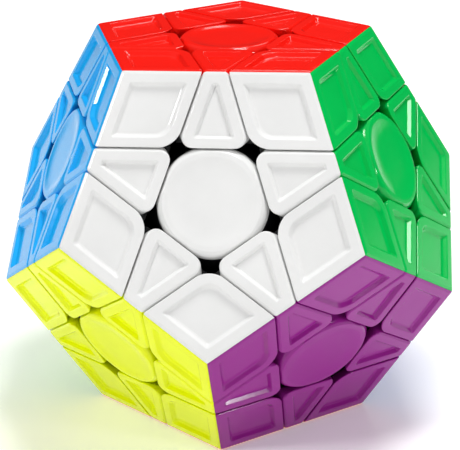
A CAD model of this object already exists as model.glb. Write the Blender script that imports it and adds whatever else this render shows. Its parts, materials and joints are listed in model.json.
"""Dodecahedron twisty puzzle: glossy coloured tiles on black inner pieces, round a core with sprung screws."""
import json
import math

import bmesh
import bpy
from mathutils import Matrix, Vector


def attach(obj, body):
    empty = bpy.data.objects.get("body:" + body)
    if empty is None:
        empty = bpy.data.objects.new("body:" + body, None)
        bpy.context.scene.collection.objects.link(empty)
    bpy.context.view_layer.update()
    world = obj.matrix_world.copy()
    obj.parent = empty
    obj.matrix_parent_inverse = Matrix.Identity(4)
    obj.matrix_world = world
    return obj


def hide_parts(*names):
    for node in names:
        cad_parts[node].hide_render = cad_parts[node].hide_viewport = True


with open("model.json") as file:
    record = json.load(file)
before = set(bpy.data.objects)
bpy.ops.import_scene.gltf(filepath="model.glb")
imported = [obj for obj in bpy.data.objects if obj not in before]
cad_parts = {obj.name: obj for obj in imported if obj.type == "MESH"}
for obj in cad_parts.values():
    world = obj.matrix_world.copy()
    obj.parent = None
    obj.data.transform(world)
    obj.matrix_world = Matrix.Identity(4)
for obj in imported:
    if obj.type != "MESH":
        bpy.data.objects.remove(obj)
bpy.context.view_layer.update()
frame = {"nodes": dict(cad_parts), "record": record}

MM = 0.001

# ---- the puzzle's sizes, in millimetres ----

EDGE = 35.0
# Distance from a face's centre to its seams, as a share of the edge
SEAM_SHARE = 0.2686
# Gap between pieces that slide past each other, and between a shell and its body
SLIDE_GAP = 0.36
FIT_GAP = 0.1
# Thickness of the coloured shells
SHELL_T = 2.2

# Angles of a regular pentagon: between two corners seen from its centre, half of that, and half of a corner
STEP = math.radians(72)
HALF_STEP = STEP / 2
HALF_CORNER = math.radians(54)

# Angle between the normals of neighbouring faces
TILT = math.acos(1 / math.sqrt(5))
HALF_TILT = TILT / 2
FACE_DIST = EDGE / 2 * math.sqrt((25 + 11 * math.sqrt(5)) / 10)
APOTHEM = EDGE / 2 / math.tan(HALF_STEP)
CORNER_R = EDGE / 2 / math.sin(HALF_STEP)
VERTEX_TILT = math.atan(CORNER_R / FACE_DIST)
SEAM = SEAM_SHARE * EDGE
CUT = SEAM * math.sin(TILT) + FACE_DIST * math.cos(TILT)
HALF_GAP = SLIDE_GAP / 2
HALF_SEAM = HALF_GAP / math.sin(TILT)
BODY_TOP = FACE_DIST - SHELL_T - FIT_GAP
# How far a slanted wall leans out for each millimetre of depth
LEAN = 1 / math.tan(TILT)

# A tile's frame, on its inner and outer sides, and its sunk panel with slanted walls
FRAME_IN = 1.95
FRAME_OUT = 2.3
WALL_W = 0.7
EDGE_WALL_W = WALL_W - 0.15
PANEL_DEPTH = 0.8
# How far a pocket's open top stands above the tile while it is cut out
LID = 0.3
# Half the gap between the shells of one piece
MITRE_GAP = 0.02
# Rounding of the puzzle's outer edges, of the tiles' other edges and of the pockets' rims
EDGE_ROUND = 0.8
RIM_ROUND = 0.38
POCKET_RIM_ROUND = 0.16
# How far the rounding of the tiles' inner corners reaches along their sides
CORNER_TILE_SETBACK = 3.1
EDGE_TILE_SETBACK = 2.7
# The same in the pockets, at their inner and other corners, then the rounding of their floors
CORNER_POCKET = (2.1, 0.45, 0.26)
EDGE_POCKET = (0.5, 0.12, 0.1)

# The cap: depths of its rings, how its sides and corners are rounded, and how much its corners are cut back
CAP_DEPTHS = (SHELL_T, 1.3, 0.95, 0.68, 0.45, 0.3, 0.18, 0.09, 0.03, 0.0)
CAP_SIDE_ROUND = 0.3
CAP_SIDE_LEAN = 0.9
CAP_CORNER_ROUND = 1.3
CAP_CORNER_LEAN = 0.5
CAP_CORNER_CUT = 1.25
# A cap's corners always reach a little further than its sides
CAP_LEAST_CORNER = 1.03
# Width and drop of each ring of the cap's dish, from its rim inwards
DISH_RINGS = ((0.5, 0), (0.5, 0.03), (0.6, 0.09), (0.8, 0.12), (1.0, 0.1), (1.5, 0.06))

# The layers part on cones round each screw: their half-angles at the necks and at the feet, and half their gap
FOOT_TOP_R = 30
NECK = math.radians(42)
FOOT = math.radians(49)
SLIDE = math.atan(HALF_GAP / FOOT_TOP_R)
# Heights above the core's centre, in a piece's own direction
FOOT_BOTTOM = 26
FOOT_TOP = 28.3
CORNER_NECK = (27, 35.6)
EDGE_NECK = (30.5, 34)
EDGE_SPLIT = 33.4
EDGE_POST = (26.3, 33.8)
POST_HALF = 3.8
# Bounds of a block before planes carve it
BLOCK_LOW = 20
BLOCK_TOP = 60
BODY_ROUND = 0.5
STALK_ROUND = 0.35

# A centre's body: its bore, sleeve, spring well and pocket under the cap
BORE_R = 1.58
SLEEVE = (4.6, 19.3)
WELL = (3.4, 22.3)
CAP_POCKET = (7.5, 31.6)
LIP_CLEARANCE = 0.25

# ---- the faces: name, polar angle and azimuth of the normal ----

POLES = {
    "white": (TILT, -90), "red": (0, 18), "green": (TILT, -18),
    "purple": (math.pi - TILT, -54), "yellow": (math.pi - TILT, -126), "blue": (TILT, -162),
    "cream": (TILT, 54), "pink": (TILT, 126), "lime": (math.pi - TILT, 162),
    "navy": (math.pi - TILT, 18), "grey": (math.pi - TILT, 90), "orange": (math.pi, 126),
}
FACES = list(POLES)
LAST = FACES[-1]


def normal_of(face):
    polar, azimuth = POLES[face]
    azimuth = math.radians(azimuth)
    return Vector((math.sin(polar) * math.cos(azimuth), math.sin(polar) * math.sin(azimuth), math.cos(polar)))


NORMAL = {face: normal_of(face) for face in FACES}


def touching(f, g):
    return f != g and NORMAL[f].dot(NORMAL[g]) > 0.4


EDGES = [(f, g) for i, f in enumerate(FACES) for g in FACES[i + 1:] if touching(f, g)]
CORNERS = [(f, g, h) for f, g in EDGES for h in FACES[FACES.index(g) + 1:] if touching(f, h) and touching(g, h)]


def edge_node(e):
    meets_last = LAST not in e and touching(e[0], LAST) and touching(e[1], LAST)
    return ("edge_corner_" if meets_last else "edge_") + "_".join(e)


def corner_node(c):
    return edge_node(c[:2]) if c[2] == LAST else "corner_" + "_".join(c)


# ---- modelling by hand, in code ----


def only(obj):
    """Leaves one object selected and active."""
    if bpy.context.object and bpy.context.object.mode != "OBJECT":
        bpy.ops.object.mode_set(mode="OBJECT")
    bpy.ops.object.select_all(action="DESELECT")
    obj.select_set(True)
    bpy.context.view_layer.objects.active = obj


def start(primitive, name, **settings):
    """Adds a primitive at the origin and opens it in edit mode."""
    if bpy.context.object and bpy.context.object.mode != "OBJECT":
        bpy.ops.object.mode_set(mode="OBJECT")
    bpy.ops.object.select_all(action="DESELECT")
    getattr(bpy.ops.mesh, "primitive_" + primitive + "_add")(**settings)
    obj = bpy.context.object
    obj.name = name
    bpy.ops.object.mode_set(mode="EDIT")
    return obj


def pick(kind, test):
    """Selects the faces, edges or verts that pass a test."""
    bpy.ops.mesh.select_mode(type=kind)
    bpy.ops.mesh.select_all(action="DESELECT")
    mesh = bpy.context.object.data
    shape = bmesh.from_edit_mesh(mesh)
    shape.normal_update()
    parts = {"VERT": shape.verts, "EDGE": shape.edges, "FACE": shape.faces}[kind]
    for part in parts:
        if test(part):
            part.select_set(True)
    shape.select_flush_mode()
    bmesh.update_edit_mesh(mesh)


def middle(edge):
    return (edge.verts[0].co + edge.verts[1].co) / 2


def turn_of(edge):
    """Angle between the two faces of an edge, in degrees."""
    return math.degrees(edge.calc_face_angle(0.0)) if len(edge.link_faces) == 2 else 0.0


def move(x, y, z):
    bpy.ops.transform.translate(value=(x, y, z))


def stretch(x, y, z, about=(0, 0, 0)):
    bpy.ops.transform.resize(value=(x, y, z), center_override=about)


def pull(x, y, z):
    bpy.ops.mesh.extrude_region_move(TRANSFORM_OT_translate={"value": (x, y, z)})


def round_off(width, steps):
    bpy.ops.mesh.bevel(offset=width, offset_type="OFFSET", segments=steps, profile=0.5, affect="EDGES",
                       clamp_overlap=False)


def cut(normal, at=0.0):
    """Cuts away all that lies behind a plane, and closes the cut."""
    bpy.ops.mesh.select_all(action="SELECT")
    normal = Vector(normal).normalized()
    bpy.ops.mesh.bisect(plane_co=normal * at, plane_no=normal, use_fill=True, clear_inner=True)


def outwards():
    bpy.ops.mesh.select_all(action="SELECT")
    bpy.ops.mesh.normals_make_consistent(inside=False)


def done(obj, smooth=32):
    """Closes edit mode and gives flat faces flat shading between smooth rounded edges."""
    outwards()
    bpy.ops.object.mode_set(mode="OBJECT")
    only(obj)
    bpy.ops.object.shade_smooth_by_angle(angle=math.radians(smooth))
    weigh = obj.modifiers.new("Even shading", "WEIGHTED_NORMAL")
    weigh.keep_sharp = True
    weigh.weight = 100
    bpy.ops.object.modifier_apply(modifier=weigh.name)
    return obj


def finish_pocket(split_x, inner_round, outer_round, floor_round):
    """Closes a pocket's top, then rounds its corners on either side of split_x, and its floor."""
    pick("EDGE", lambda e: e.is_boundary)
    bpy.ops.mesh.edge_face_add()
    outwards()
    for x_from, x_to, width in ((0, split_x, inner_round), (split_x, EDGE, outer_round)):
        pick("EDGE", lambda e: abs(e.verts[0].co.z - e.verts[1].co.z) > 0.1 and x_from < middle(e).x < x_to)
        round_off(width, 6)
    pick("EDGE", lambda e: max(v.co.z for v in e.verts) < FACE_DIST - PANEL_DEPTH + 0.01)
    round_off(floor_round, 4)
    outwards()
    bpy.ops.object.mode_set(mode="OBJECT")


def press_in(tile, pocket):
    """Cuts a pocket out of a tile, then softens the pocket's rim."""
    bpy.ops.object.mode_set(mode="OBJECT")
    only(tile)
    press = tile.modifiers.new("Panel", "BOOLEAN")
    press.object = pocket
    press.operation = "DIFFERENCE"
    press.solver = "EXACT"
    bpy.ops.object.modifier_apply(modifier=press.name)
    bpy.data.objects.remove(pocket)
    bpy.ops.object.mode_set(mode="EDIT")
    pick("EDGE", lambda e: turn_of(e) > 22 and min(v.co.z for v in e.verts) > FACE_DIST - 0.005)
    round_off(POCKET_RIM_ROUND, 3)


def round_rims():
    """Rounds each sharp edge of a tile, apart from those round its underside."""
    pick("EDGE", lambda e: turn_of(e) > 35 and middle(e).z > FACE_DIST - SHELL_T + 0.01)
    round_off(RIM_ROUND, 3)


def neighbour(azimuth):
    """Normal of the neighbouring face that lies in this direction, where the tile's own face looks along +Z."""
    a = math.radians(azimuth)
    return Vector((math.sin(TILT) * math.cos(a), math.sin(TILT) * math.sin(a), math.cos(TILT)))


def lift_lid():
    """Raises a pocket's open rim a little above the tile, so that the cut comes out clean."""
    pick("EDGE", lambda e: e.is_boundary)
    bpy.ops.mesh.extrude_region_move(TRANSFORM_OT_translate={"value": (0, 0, LID)})


def make_corner_tile():
    inner = SEAM / math.cos(HALF_STEP) + HALF_SEAM / math.sin(HALF_CORNER)
    half = (CORNER_R - inner) / 2
    mid = (CORNER_R + inner) / 2
    tile = start("circle", "corner_tile", vertices=4, radius=1, fill_type="NGON")
    stretch(half, half * math.tan(HALF_CORNER), 1)
    move(mid, 0, FACE_DIST)
    pull(LEAN / math.cos(HALF_STEP) * SHELL_T, 0, -SHELL_T)
    outwards()
    pick("EDGE", lambda e: max(abs(v.co.y) for v in e.verts) < 0.01 and middle(e).x < mid)
    round_off(CORNER_TILE_SETBACK, 9)
    pick("EDGE", lambda e: (min(v.co.z for v in e.verts) > FACE_DIST - 0.01 and middle(e).x > mid)
         or (max(abs(v.co.y) for v in e.verts) < 0.01 and middle(e).x > mid))
    round_off(EDGE_ROUND, 6)
    round_rims()
    for azimuth in (36, -36):
        cut(Vector((0, 0, 1)) - neighbour(azimuth), MITRE_GAP)
    border = FRAME_IN / math.sin(HALF_CORNER)
    outer_border = FRAME_OUT / math.sin(HALF_CORNER)
    bpy.ops.object.mode_set(mode="OBJECT")
    pocket = start("circle", "corner_pocket", vertices=4, radius=1, fill_type="NGON")
    panel = half - (border + outer_border) / 2
    stretch(panel, panel * math.tan(HALF_CORNER), 1)
    move(mid + (border - outer_border) / 2, 0, FACE_DIST)
    bpy.ops.mesh.inset(thickness=WALL_W, depth=-PANEL_DEPTH)
    lift_lid()
    finish_pocket(mid - 4, *CORNER_POCKET)
    press_in(tile, pocket)
    return done(tile)


def make_edge_tile():
    inner = SEAM + HALF_SEAM
    side = SEAM - HALF_SEAM

    def half_width(x):
        return (side - x * math.cos(STEP)) / math.sin(STEP)

    tile = start("plane", "edge_tile", size=1)
    stretch(APOTHEM - inner, 2 * half_width(inner), 1)
    move((APOTHEM + inner) / 2, 0, FACE_DIST)
    pick("EDGE", lambda e: middle(e).x > APOTHEM - 0.1)
    stretch(1, half_width(APOTHEM) / half_width(inner), 1, (APOTHEM, 0, FACE_DIST))
    bpy.ops.mesh.select_all(action="SELECT")
    pull(LEAN * SHELL_T, 0, -SHELL_T)
    spread = LEAN * (1 - math.cos(STEP)) / math.sin(STEP) * SHELL_T
    for way in (1, -1):
        pick("VERT", lambda v: v.co.z < FACE_DIST - 0.1 and way * v.co.y > 0)
        move(0, way * spread, 0)
    outwards()
    pick("EDGE", lambda e: abs(e.verts[0].co.z - e.verts[1].co.z) > 1 and middle(e).x < inner + 2)
    round_off(EDGE_TILE_SETBACK, 8)
    pick("EDGE", lambda e: min(v.co.z for v in e.verts) > FACE_DIST - 0.01 and middle(e).x > APOTHEM - 0.1)
    round_off(EDGE_ROUND, 6)
    round_rims()
    cut(Vector((0, 0, 1)) - neighbour(0), MITRE_GAP)
    bpy.ops.object.mode_set(mode="OBJECT")
    pocket = start("plane", "edge_pocket", size=1)
    near = inner + FRAME_IN
    far = APOTHEM - FRAME_OUT
    shy = FRAME_IN / math.sin(STEP)
    stretch(far - near, 2 * (half_width(near) - shy), 1)
    move((far + near) / 2, 0, FACE_DIST)
    pick("EDGE", lambda e: middle(e).x > far - 0.1)
    stretch(1, (half_width(far) - shy) / (half_width(near) - shy), 1, (far, 0, FACE_DIST))
    bpy.ops.mesh.select_all(action="SELECT")
    bpy.ops.mesh.inset(thickness=EDGE_WALL_W, depth=-PANEL_DEPTH)
    lift_lid()
    split_x = (near + far) / 2
    finish_pocket(split_x, *EDGE_POCKET)
    press_in(tile, pocket)
    return done(tile)


def make_cap():
    """A cap whose rim is crisp along its sides and soft at its corners, round a shallow dish."""
    apothem = SEAM - HALF_SEAM
    sharpness = 1 / math.cos(HALF_STEP)
    cap = None
    below = None
    for depth in CAP_DEPTHS:
        side = apothem + CAP_SIDE_LEAN * LEAN * depth - fillet(CAP_SIDE_ROUND, depth)
        corner = max(CAP_LEAST_CORNER * side, apothem * sharpness - CAP_CORNER_CUT
                     + CAP_CORNER_LEAN * LEAN * depth - fillet(CAP_CORNER_ROUND, depth))
        radius = (side * sharpness - corner) / (sharpness - 1)
        if cap is None:
            cap = start("circle", "cap", vertices=5, radius=side * sharpness, fill_type="NOTHING")
        else:
            bpy.ops.mesh.primitive_circle_add(vertices=5, radius=side * sharpness, fill_type="NOTHING")
        bpy.ops.mesh.bevel(offset=radius / math.tan(HALF_CORNER), offset_type="OFFSET", segments=14,
                           profile=0.5, affect="VERTICES", clamp_overlap=False)
        level = FACE_DIST - depth
        move(0, 0, level)
        if below is not None:
            pick("EDGE", lambda e: abs(e.verts[0].co.z - e.verts[1].co.z) < 0.001
                 and (abs(middle(e).z - level) < 0.001 or abs(middle(e).z - below) < 0.001))
            bpy.ops.mesh.bridge_edge_loops()
        below = level
    for level in (FACE_DIST - SHELL_T, FACE_DIST):
        pick("EDGE", lambda e: e.is_boundary and abs(middle(e).z - level) < 0.001)
        bpy.ops.mesh.edge_face_add()
    outwards()
    pick("FACE", lambda f: f.normal.z > 0.999 and len(f.verts) > 20)
    for step, drop in DISH_RINGS:
        bpy.ops.mesh.inset(thickness=step, depth=-drop)
    return done(cap)


def fillet(radius, depth):
    """How far a quarter-round edge stands back, at a depth below its top."""
    up = max(0.0, 1 - depth / radius)
    return radius * (1 - math.sqrt(max(0.0, 1 - up * up)))


# ---- black inner pieces ----


def edge_span(slope, length):
    """Half-width of an edge piece for each millimetre from the core, where its half-length is given the same way."""
    a, b, k = math.cos(HALF_TILT), math.sin(HALF_TILT), math.cos(slope) ** 2
    q = b * b - k
    return (a * b - math.sqrt((a * b) ** 2 - q * (a * a - k * (1 + length ** 2)))) / q


def corner_span(slope):
    """Reach of a corner piece's neck or foot towards each face, for each millimetre from the core."""
    a, b = math.cos(VERTEX_TILT), math.sin(VERTEX_TILT) / 2
    return math.tan(math.acos(math.cos(slope) / math.hypot(a, b)) - math.atan2(b, a))


def carved(name, low, high, planes, rounding):
    """A block between two heights, carved by planes; each plane is (direction kept, distance)."""
    block = start("cube", name, size=2 * BLOCK_TOP)
    cut((0, 0, 1), low)
    cut((0, 0, -1), -high)
    for direction, distance in planes:
        cut(direction, distance)
    outwards()
    bpy.ops.mesh.remove_doubles(threshold=0.01)
    pick("EDGE", lambda e: turn_of(e) > 10)
    round_off(rounding, 3)
    outwards()
    bpy.ops.object.mode_set(mode="OBJECT")
    return block


def joined(blocks):
    """Welds overlapping blocks into one solid."""
    body = blocks[0]
    for other in blocks[1:]:
        only(body)
        weld = body.modifiers.new("Weld", "BOOLEAN")
        weld.operation = "UNION"
        weld.solver = "EXACT"
        weld.object = other
        bpy.ops.object.modifier_apply(modifier=weld.name)
        bpy.data.objects.remove(other)
    only(body)
    bpy.ops.object.mode_set(mode="EDIT")
    return done(body)


def ring_of(tilt, azimuths):
    return [Vector((math.sin(tilt) * math.cos(math.radians(a)), math.sin(tilt) * math.sin(math.radians(a)),
                    math.cos(tilt))) for a in azimuths]


def make_corner_body():
    faces = ring_of(VERTEX_TILT, (90, 210, 330))
    walls = [(n, CUT + HALF_GAP) for n in faces] + [(-n, -BODY_TOP) for n in faces]
    blocks = [carved("corner_body", BLOCK_LOW, BLOCK_TOP, walls, BODY_ROUND)]
    for slope, low, high in ((NECK, *CORNER_NECK), (FOOT, FOOT_BOTTOM, FOOT_TOP)):
        span = corner_span(slope - SLIDE)
        sides = [(Vector((-math.cos(math.radians(a)), -math.sin(math.radians(a)), span / 2)), 0)
                 for a in (30, 150, 270)]
        blocks.append(carved("corner_stalk", low, high, sides, STALK_ROUND))
    return joined(blocks)


def make_edge_body():
    outer = [Vector((way * math.sin(HALF_TILT), 0, math.cos(HALF_TILT))) for way in (1, -1)]
    d = (NORMAL["white"] + NORMAL["red"]).normalized()
    rise = NORMAL["green"].dot(d)
    ends = [Vector((0, way * math.sqrt(1 - rise * rise), rise)) for way in (1, -1)]
    end_walls = [(-n, -(CUT - HALF_GAP)) for n in ends]
    walls = [(n, CUT + HALF_GAP) for n in outer] + [(-n, -BODY_TOP) for n in outer] + end_walls
    blocks = [carved("edge_body", EDGE_SPLIT, BLOCK_TOP, walls, BODY_ROUND)]
    for slope, low, high in ((NECK, *EDGE_NECK), (FOOT, FOOT_BOTTOM, FOOT_TOP)):
        length = math.tan(math.radians(90) - HALF_TILT - slope - SLIDE)
        width = edge_span(slope - SLIDE, length)
        sides = [(Vector((0, way, length)), 0) for way in (1, -1)] + [(Vector((way, 0, width)), 0) for way in (1, -1)]
        if slope == NECK:
            sides += end_walls
        blocks.append(carved("edge_stalk", low, high, sides, STALK_ROUND))
    post = [(Vector(side), -POST_HALF) for side in ((1, 0, 0), (-1, 0, 0), (0, 1, 0), (0, -1, 0))]
    blocks.append(carved("edge_post", *EDGE_POST, post, BODY_ROUND))
    return joined(blocks)


def turned(name, outline, sides=72):
    """Lathes a closed outline of (radius, height) points round the Z axis."""
    radius, height = outline[0]
    piece = start("circle", name, vertices=sides, radius=radius, fill_type="NOTHING")
    move(0, 0, height)
    for (r0, z0), (r1, z1) in zip(outline, outline[1:]):
        pull(0, 0, z1 - z0)
        stretch(r1 / r0, r1 / r0, 1, (0, 0, z1))
    pick("EDGE", lambda e: e.is_boundary)
    bpy.ops.mesh.bridge_edge_loops()
    outwards()
    return piece


def make_center_body():
    neck = TILT - NECK - SLIDE
    foot_r = FOOT_BOTTOM * math.sin(TILT - FOOT - SLIDE) - HALF_GAP
    lip = FOOT_TOP_R + HALF_GAP + LIP_CLEARANCE
    outer_r = (CUT - HALF_GAP) / math.sin(TILT)
    wide_z = outer_r / (math.tan(neck) + LEAN)
    body = turned("center_body", [
        (BORE_R, SLEEVE[1]), SLEEVE, (SLEEVE[0], FOOT_BOTTOM),
        (foot_r, FOOT_BOTTOM), (foot_r, math.sqrt(lip ** 2 - foot_r ** 2)),
        (lip * math.sin(neck), lip * math.cos(neck)), (math.tan(neck) * wide_z, wide_z),
        (outer_r - BODY_TOP * LEAN, BODY_TOP), (CAP_POCKET[0], BODY_TOP), CAP_POCKET,
        (WELL[0], CAP_POCKET[1]), WELL, (BORE_R, WELL[1])])
    pick("EDGE", lambda e: turn_of(e) > 25)
    round_off(0.25, 3)
    return done(body)


# ---- finishes ----


class Flow:
    """A shader socket, so that its maths reads as plain sums."""

    def __init__(self, tree, socket):
        self.tree = tree
        self.socket = socket

    def sum_with(self, kind, other, other_first=False):
        node = self.tree.nodes.new("ShaderNodeMath")
        node.operation = kind
        pair = (other, self) if other_first else (self, other)
        for slot, value in zip(node.inputs, pair):
            feed(self.tree, slot, value)
        return Flow(self.tree, node.outputs[0])

    def __add__(self, other):
        return self.sum_with("ADD", other)

    __radd__ = __add__

    def __rsub__(self, other):
        return self.sum_with("SUBTRACT", other, True)

    def __mul__(self, other):
        return self.sum_with("MULTIPLY", other)


def feed(tree, slot, value):
    """Gives a node's socket a link or a plain value."""
    if isinstance(value, Flow):
        tree.links.new(value.socket, slot)
    else:
        slot.default_value = value


class Finish:
    """A material being made, with its nodes."""

    def __init__(self, name):
        self.material = bpy.data.materials.new(name)
        self.material.use_nodes = True
        self.tree = self.material.node_tree
        self.shader = self.tree.nodes["Principled BSDF"]
        self.place = self.node("ShaderNodeTexCoord", {}, "Object", {})

    def node(self, kind, settings, output, sockets):
        """Adds a node; returns one of its outputs."""
        node = self.tree.nodes.new(kind)
        for key, value in settings.items():
            setattr(node, key, value)
        for key, value in sockets.items():
            feed(self.tree, node.inputs[key], value)
        return Flow(self.tree, node.outputs[output])

    def noise(self, size_mm, detail):
        return self.node("ShaderNodeTexNoise", {"noise_dimensions": "3D"}, "Fac",
                         {"Vector": self.place, "Scale": 1 / (size_mm * MM), "Detail": detail, "Roughness": 0.55})

    def ramp(self, value, low, high):
        return self.node("ShaderNodeMapRange", {"clamp": True}, "Result",
                         {"Value": value, "From Min": low, "From Max": high, "To Min": 0.0, "To Max": 1.0})

    def blend(self, share, first, second):
        node = self.tree.nodes.new("ShaderNodeMix")
        node.data_type = "RGBA"
        feed(self.tree, node.inputs[0], share)
        for slot, value in ((node.inputs[6], first), (node.inputs[7], second)):
            feed(self.tree, slot, value)
        return Flow(self.tree, node.outputs[2])

    def bump(self, height, strength, distance_mm):
        return self.node("ShaderNodeBump", {}, "Normal",
                         {"Height": height, "Strength": strength, "Distance": distance_mm * MM})

    def set(self, **sockets):
        for key, value in sockets.items():
            feed(self.tree, self.shader.inputs[key.replace("_", " ")], value)
        return self.material


def linear(code):
    """A colour given as sRGB hex, for the shader."""
    parts = [int(code[i:i + 2], 16) / 255 for i in (0, 2, 4)]
    return [c / 12.92 if c <= 0.04045 else ((c + 0.055) / 1.055) ** 2.4 for c in parts] + [1.0]


def shade(colour, factor):
    return [min(1.0, c * factor) for c in colour[:3]] + [1.0]


def moulded_plastic(name, code, roughness=0.08):
    """Polished mould finish: faint flow clouding, uneven gloss and a trace of orange peel."""
    finish = Finish(name)
    colour = linear(code)
    flow = finish.ramp(finish.noise(14, 3), 0.32, 0.68)
    specks = finish.ramp(finish.noise(0.5, 1), 0.45, 0.75)
    tone = finish.blend(flow, shade(colour, 0.965), shade(colour, 1.02))
    tone = finish.blend(specks * 0.05, tone, shade(colour, 0.9))
    gloss = roughness + flow * 0.035 + finish.ramp(finish.noise(2.2, 2), 0.4, 0.7) * 0.03
    peel = finish.noise(1.6, 1) * 0.7 + finish.noise(0.18, 1) * 0.3
    return finish.set(Base_Color=tone, Roughness=gloss, Normal=finish.bump(peel, 0.05, 0.05),
                      IOR=1.45, Specular_IOR_Level=0.33)


def satin_plastic(name, code, roughness):
    """Unpolished inner moulding: fine spark texture and rubbed, shinier patches where pieces slide."""
    finish = Finish(name)
    colour = linear(code)
    rubbed = finish.ramp(finish.noise(5, 3), 0.5, 0.72)
    grain = finish.noise(0.12, 2)
    tone = finish.blend(rubbed, colour, shade(colour, 1.35))
    return finish.set(Base_Color=tone, Roughness=roughness - rubbed * 0.14 + grain * 0.08,
                      Normal=finish.bump(grain, 0.16, 0.04), IOR=1.48)


def plated_steel(name, code, roughness):
    """Zinc plate: crystalline clouding with fine turned lines."""
    finish = Finish(name)
    colour = linear(code)
    cells = finish.node("ShaderNodeTexVoronoi", {}, "Distance", {"Vector": finish.place, "Scale": 1 / (0.7 * MM)})
    clouds = finish.ramp(cells, 0.1, 0.8)
    return finish.set(Base_Color=finish.blend(clouds, shade(colour, 0.86), shade(colour, 1.05)), Metallic=1.0,
                      Roughness=roughness + clouds * 0.12 + finish.noise(0.1, 2) * 0.06,
                      Normal=finish.bump(finish.noise(0.2, 2), 0.08, 0.03))


TILE_COLOURS = {
    "white": "f4f4f3", "red": "ff1c10", "green": "02ca58", "purple": "9a2190", "yellow": "f2fd04", "blue": "1fb4ff",
    "cream": "f1dfa6", "pink": "fb86b2", "lime": "97dc28", "navy": "1438a8", "grey": "868b92", "orange": "ff7208",
}
tile_finish = {face: moulded_plastic(face + "_gloss", code) for face, code in TILE_COLOURS.items()}
body_finish = satin_plastic("inner_black", "151517", 0.36)
core_finish = satin_plastic("core_black", "1d1d20", 0.46)
steel_finish = plated_steel("zinc_plate", "b8bcc2", 0.24)
wire_finish = plated_steel("spring_wire", "a4a6aa", 0.2)

# ---- putting the pieces in place ----


def frame_of(z, towards):
    """Turns a model that was made facing +Z, with +X towards a direction, and brings it to metres."""
    z = z.normalized()
    x = (towards - towards.dot(z) * z).normalized()
    return Matrix((x, z.cross(x), z)).transposed().to_4x4() @ Matrix.Scale(MM, 4)


def put(model, name, axes, body, slot, finish, node):
    """Copies a model to its place; the copy rides on a body and stands for a node."""
    piece = model.copy()
    piece.data = model.data.copy()
    piece.name = name
    piece.data.name = name
    bpy.context.scene.collection.objects.link(piece)
    piece.matrix_world = axes
    only(piece)
    bpy.ops.object.transform_apply(location=True, rotation=True, scale=True)
    piece.data.materials.clear()
    piece.data.materials.append(finish)
    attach(piece, body)
    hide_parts(node)
    return piece


bodies_of = {node: body for body, nodes in frame["record"]["behaviour"]["bodies"].items() for node in nodes}

corner_tile = make_corner_tile()
edge_tile = make_edge_tile()
cap = make_cap()
corner_body = make_corner_body()
edge_body = make_edge_body()
center_body = make_center_body()

for f in FACES:
    node = "center_" + f
    axes = frame_of(NORMAL[f], NORMAL[next(g for g in FACES if touching(f, g))])
    # The cap's corners point between the neighbouring faces
    put(cap, f + "_cap", axes @ Matrix.Rotation(math.radians(18), 4, "Z"), bodies_of[node], f + "_plastic",
        tile_finish[f], node)
    put(center_body, f + "_center_body", axes, bodies_of[node], "inner_plastic", body_finish, node)

for e in EDGES:
    node = edge_node(e)
    name = "_".join(e)
    for f, g in (e, e[::-1]):
        put(edge_tile, f + "_tile_by_" + g, frame_of(NORMAL[f], NORMAL[g]), bodies_of[node], f + "_plastic",
            tile_finish[f], node)
    put(edge_body, name + "_edge_body", frame_of(NORMAL[e[0]] + NORMAL[e[1]], NORMAL[e[0]] - NORMAL[e[1]]),
        bodies_of[node], "inner_plastic", body_finish, node)

for c in CORNERS:
    node = corner_node(c)
    name = "_".join(c)
    for f in c:
        g, h = (k for k in c if k != f)
        put(corner_tile, f + "_tile_by_" + g + "_" + h, frame_of(NORMAL[f], NORMAL[g] + NORMAL[h]),
            bodies_of[node], f + "_plastic", tile_finish[f], node)
    d = NORMAL[c[0]] + NORMAL[c[1]] + NORMAL[c[2]]
    put(corner_body, name + "_corner_body",
        frame_of(d, NORMAL[c[0]]) @ Matrix.Rotation(math.radians(-90), 4, "Z"),
        bodies_of[node], "inner_plastic", body_finish, node)

for model in (corner_tile, edge_tile, cap, corner_body, edge_body, center_body):
    bpy.data.objects.remove(model)

for node, finish in (("core", core_finish), ("screws_and_washers", steel_finish), ("springs", wire_finish)):
    frame["nodes"][node].data.materials.clear()
    frame["nodes"][node].data.materials.append(finish)

# ---- floor, light and camera ----

bpy.ops.object.select_all(action="DESELECT")
bpy.ops.mesh.primitive_plane_add(size=6, location=(0, 0, -(FACE_DIST + 0.02) * MM))
floor = bpy.context.object
floor.name = "floor"
paper = Finish("floor_paper")
fibres = paper.noise(1.2, 3)
floor.data.materials.append(paper.set(
    Base_Color=paper.blend(fibres, linear("f6f6f6"), linear("fafafa")), Roughness=0.65 + fibres * 0.1,
    Normal=paper.bump(fibres, 0.05, 0.05), Emission_Color=linear("ffffff"), Emission_Strength=0.24))


def softbox(name, size, spot, power):
    """A square light that faces the puzzle."""
    light = bpy.data.lights.new(name, "AREA")
    light.shape = "SQUARE"
    light.size = size
    light.energy = power
    lamp = bpy.data.objects.new(name, light)
    bpy.context.scene.collection.objects.link(lamp)
    lamp.location = spot
    lamp.rotation_euler = Vector(spot).to_track_quat("Z", "Y").to_euler()


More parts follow.
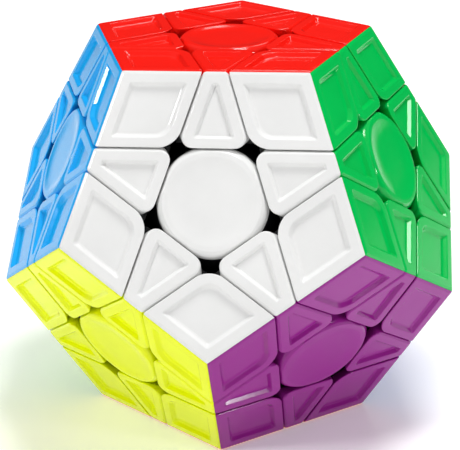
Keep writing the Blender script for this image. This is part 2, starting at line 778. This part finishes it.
softbox("key_light", 0.12, (-0.6, -0.5, 0.55), 2.6)
softbox("top_light", 0.26, (0.15, 0.05, 0.85), 4.4)
softbox("right_light", 0.1, (0.75, -0.45, 0.35), 1.2)
softbox("front_light", 0.1, (0.25, -0.95, 0.1), 0.35)
softbox("back_light", 0.4, (0.1, 0.72, 0.68), 2.2)

# The sky is bright above and dark near the horizon, so that the side faces keep deep colours
world = bpy.data.worlds.new("studio")
bpy.context.scene.world = world
world.use_nodes = True
sky = world.node_tree
where = sky.nodes.new("ShaderNodeTexCoord")
heights = sky.nodes.new("ShaderNodeSeparateXYZ")
fall = sky.nodes.new("ShaderNodeMapRange")
fall.interpolation_type = "SMOOTHSTEP"
for key, value in (("From Min", 0.45), ("From Max", 0.75), ("To Min", 0.03), ("To Max", 0.36)):
    fall.inputs[key].default_value = value
sky.links.new(where.outputs["Generated"], heights.inputs["Vector"])
sky.links.new(heights.outputs["Z"], fall.inputs["Value"])
sky.links.new(fall.outputs["Result"], sky.nodes["Background"].inputs["Strength"])
sky.nodes["Background"].inputs["Color"].default_value = (1, 1, 1, 1)

# Angles of the camera, its distance and sideways shift in millimetres, and its lens on a 36 mm sensor
CAMERA_AZIMUTH = math.radians(6.15)
CAMERA_HEIGHT = math.radians(23.07)
CAMERA_ROLL = math.radians(-1.14)
CAMERA_BACK = 293.3
CAMERA_OFFSET = (-0.43, -1.92)
CAMERA_LENS = 109.1

back = Vector((math.sin(CAMERA_AZIMUTH) * math.cos(CAMERA_HEIGHT),
               -math.cos(CAMERA_AZIMUTH) * math.cos(CAMERA_HEIGHT), math.sin(CAMERA_HEIGHT)))
level = Vector((0, 0, 1)).cross(back).normalized()
rise = back.cross(level)
right = math.cos(CAMERA_ROLL) * level + math.sin(CAMERA_ROLL) * rise
up = back.cross(right)
camera = bpy.data.objects.new("camera", bpy.data.cameras.new("camera"))
bpy.context.scene.collection.objects.link(camera)
camera.data.sensor_width = 36
camera.data.lens = CAMERA_LENS
camera.data.clip_start = 0.01
eye = (back * CAMERA_BACK + right * CAMERA_OFFSET[0] + up * CAMERA_OFFSET[1]) * MM
camera.matrix_world = Matrix.Translation(eye) @ Matrix((right, up, back)).transposed().to_4x4()
bpy.context.scene.camera = camera
bpy.context.scene.view_settings.view_transform = "Standard"
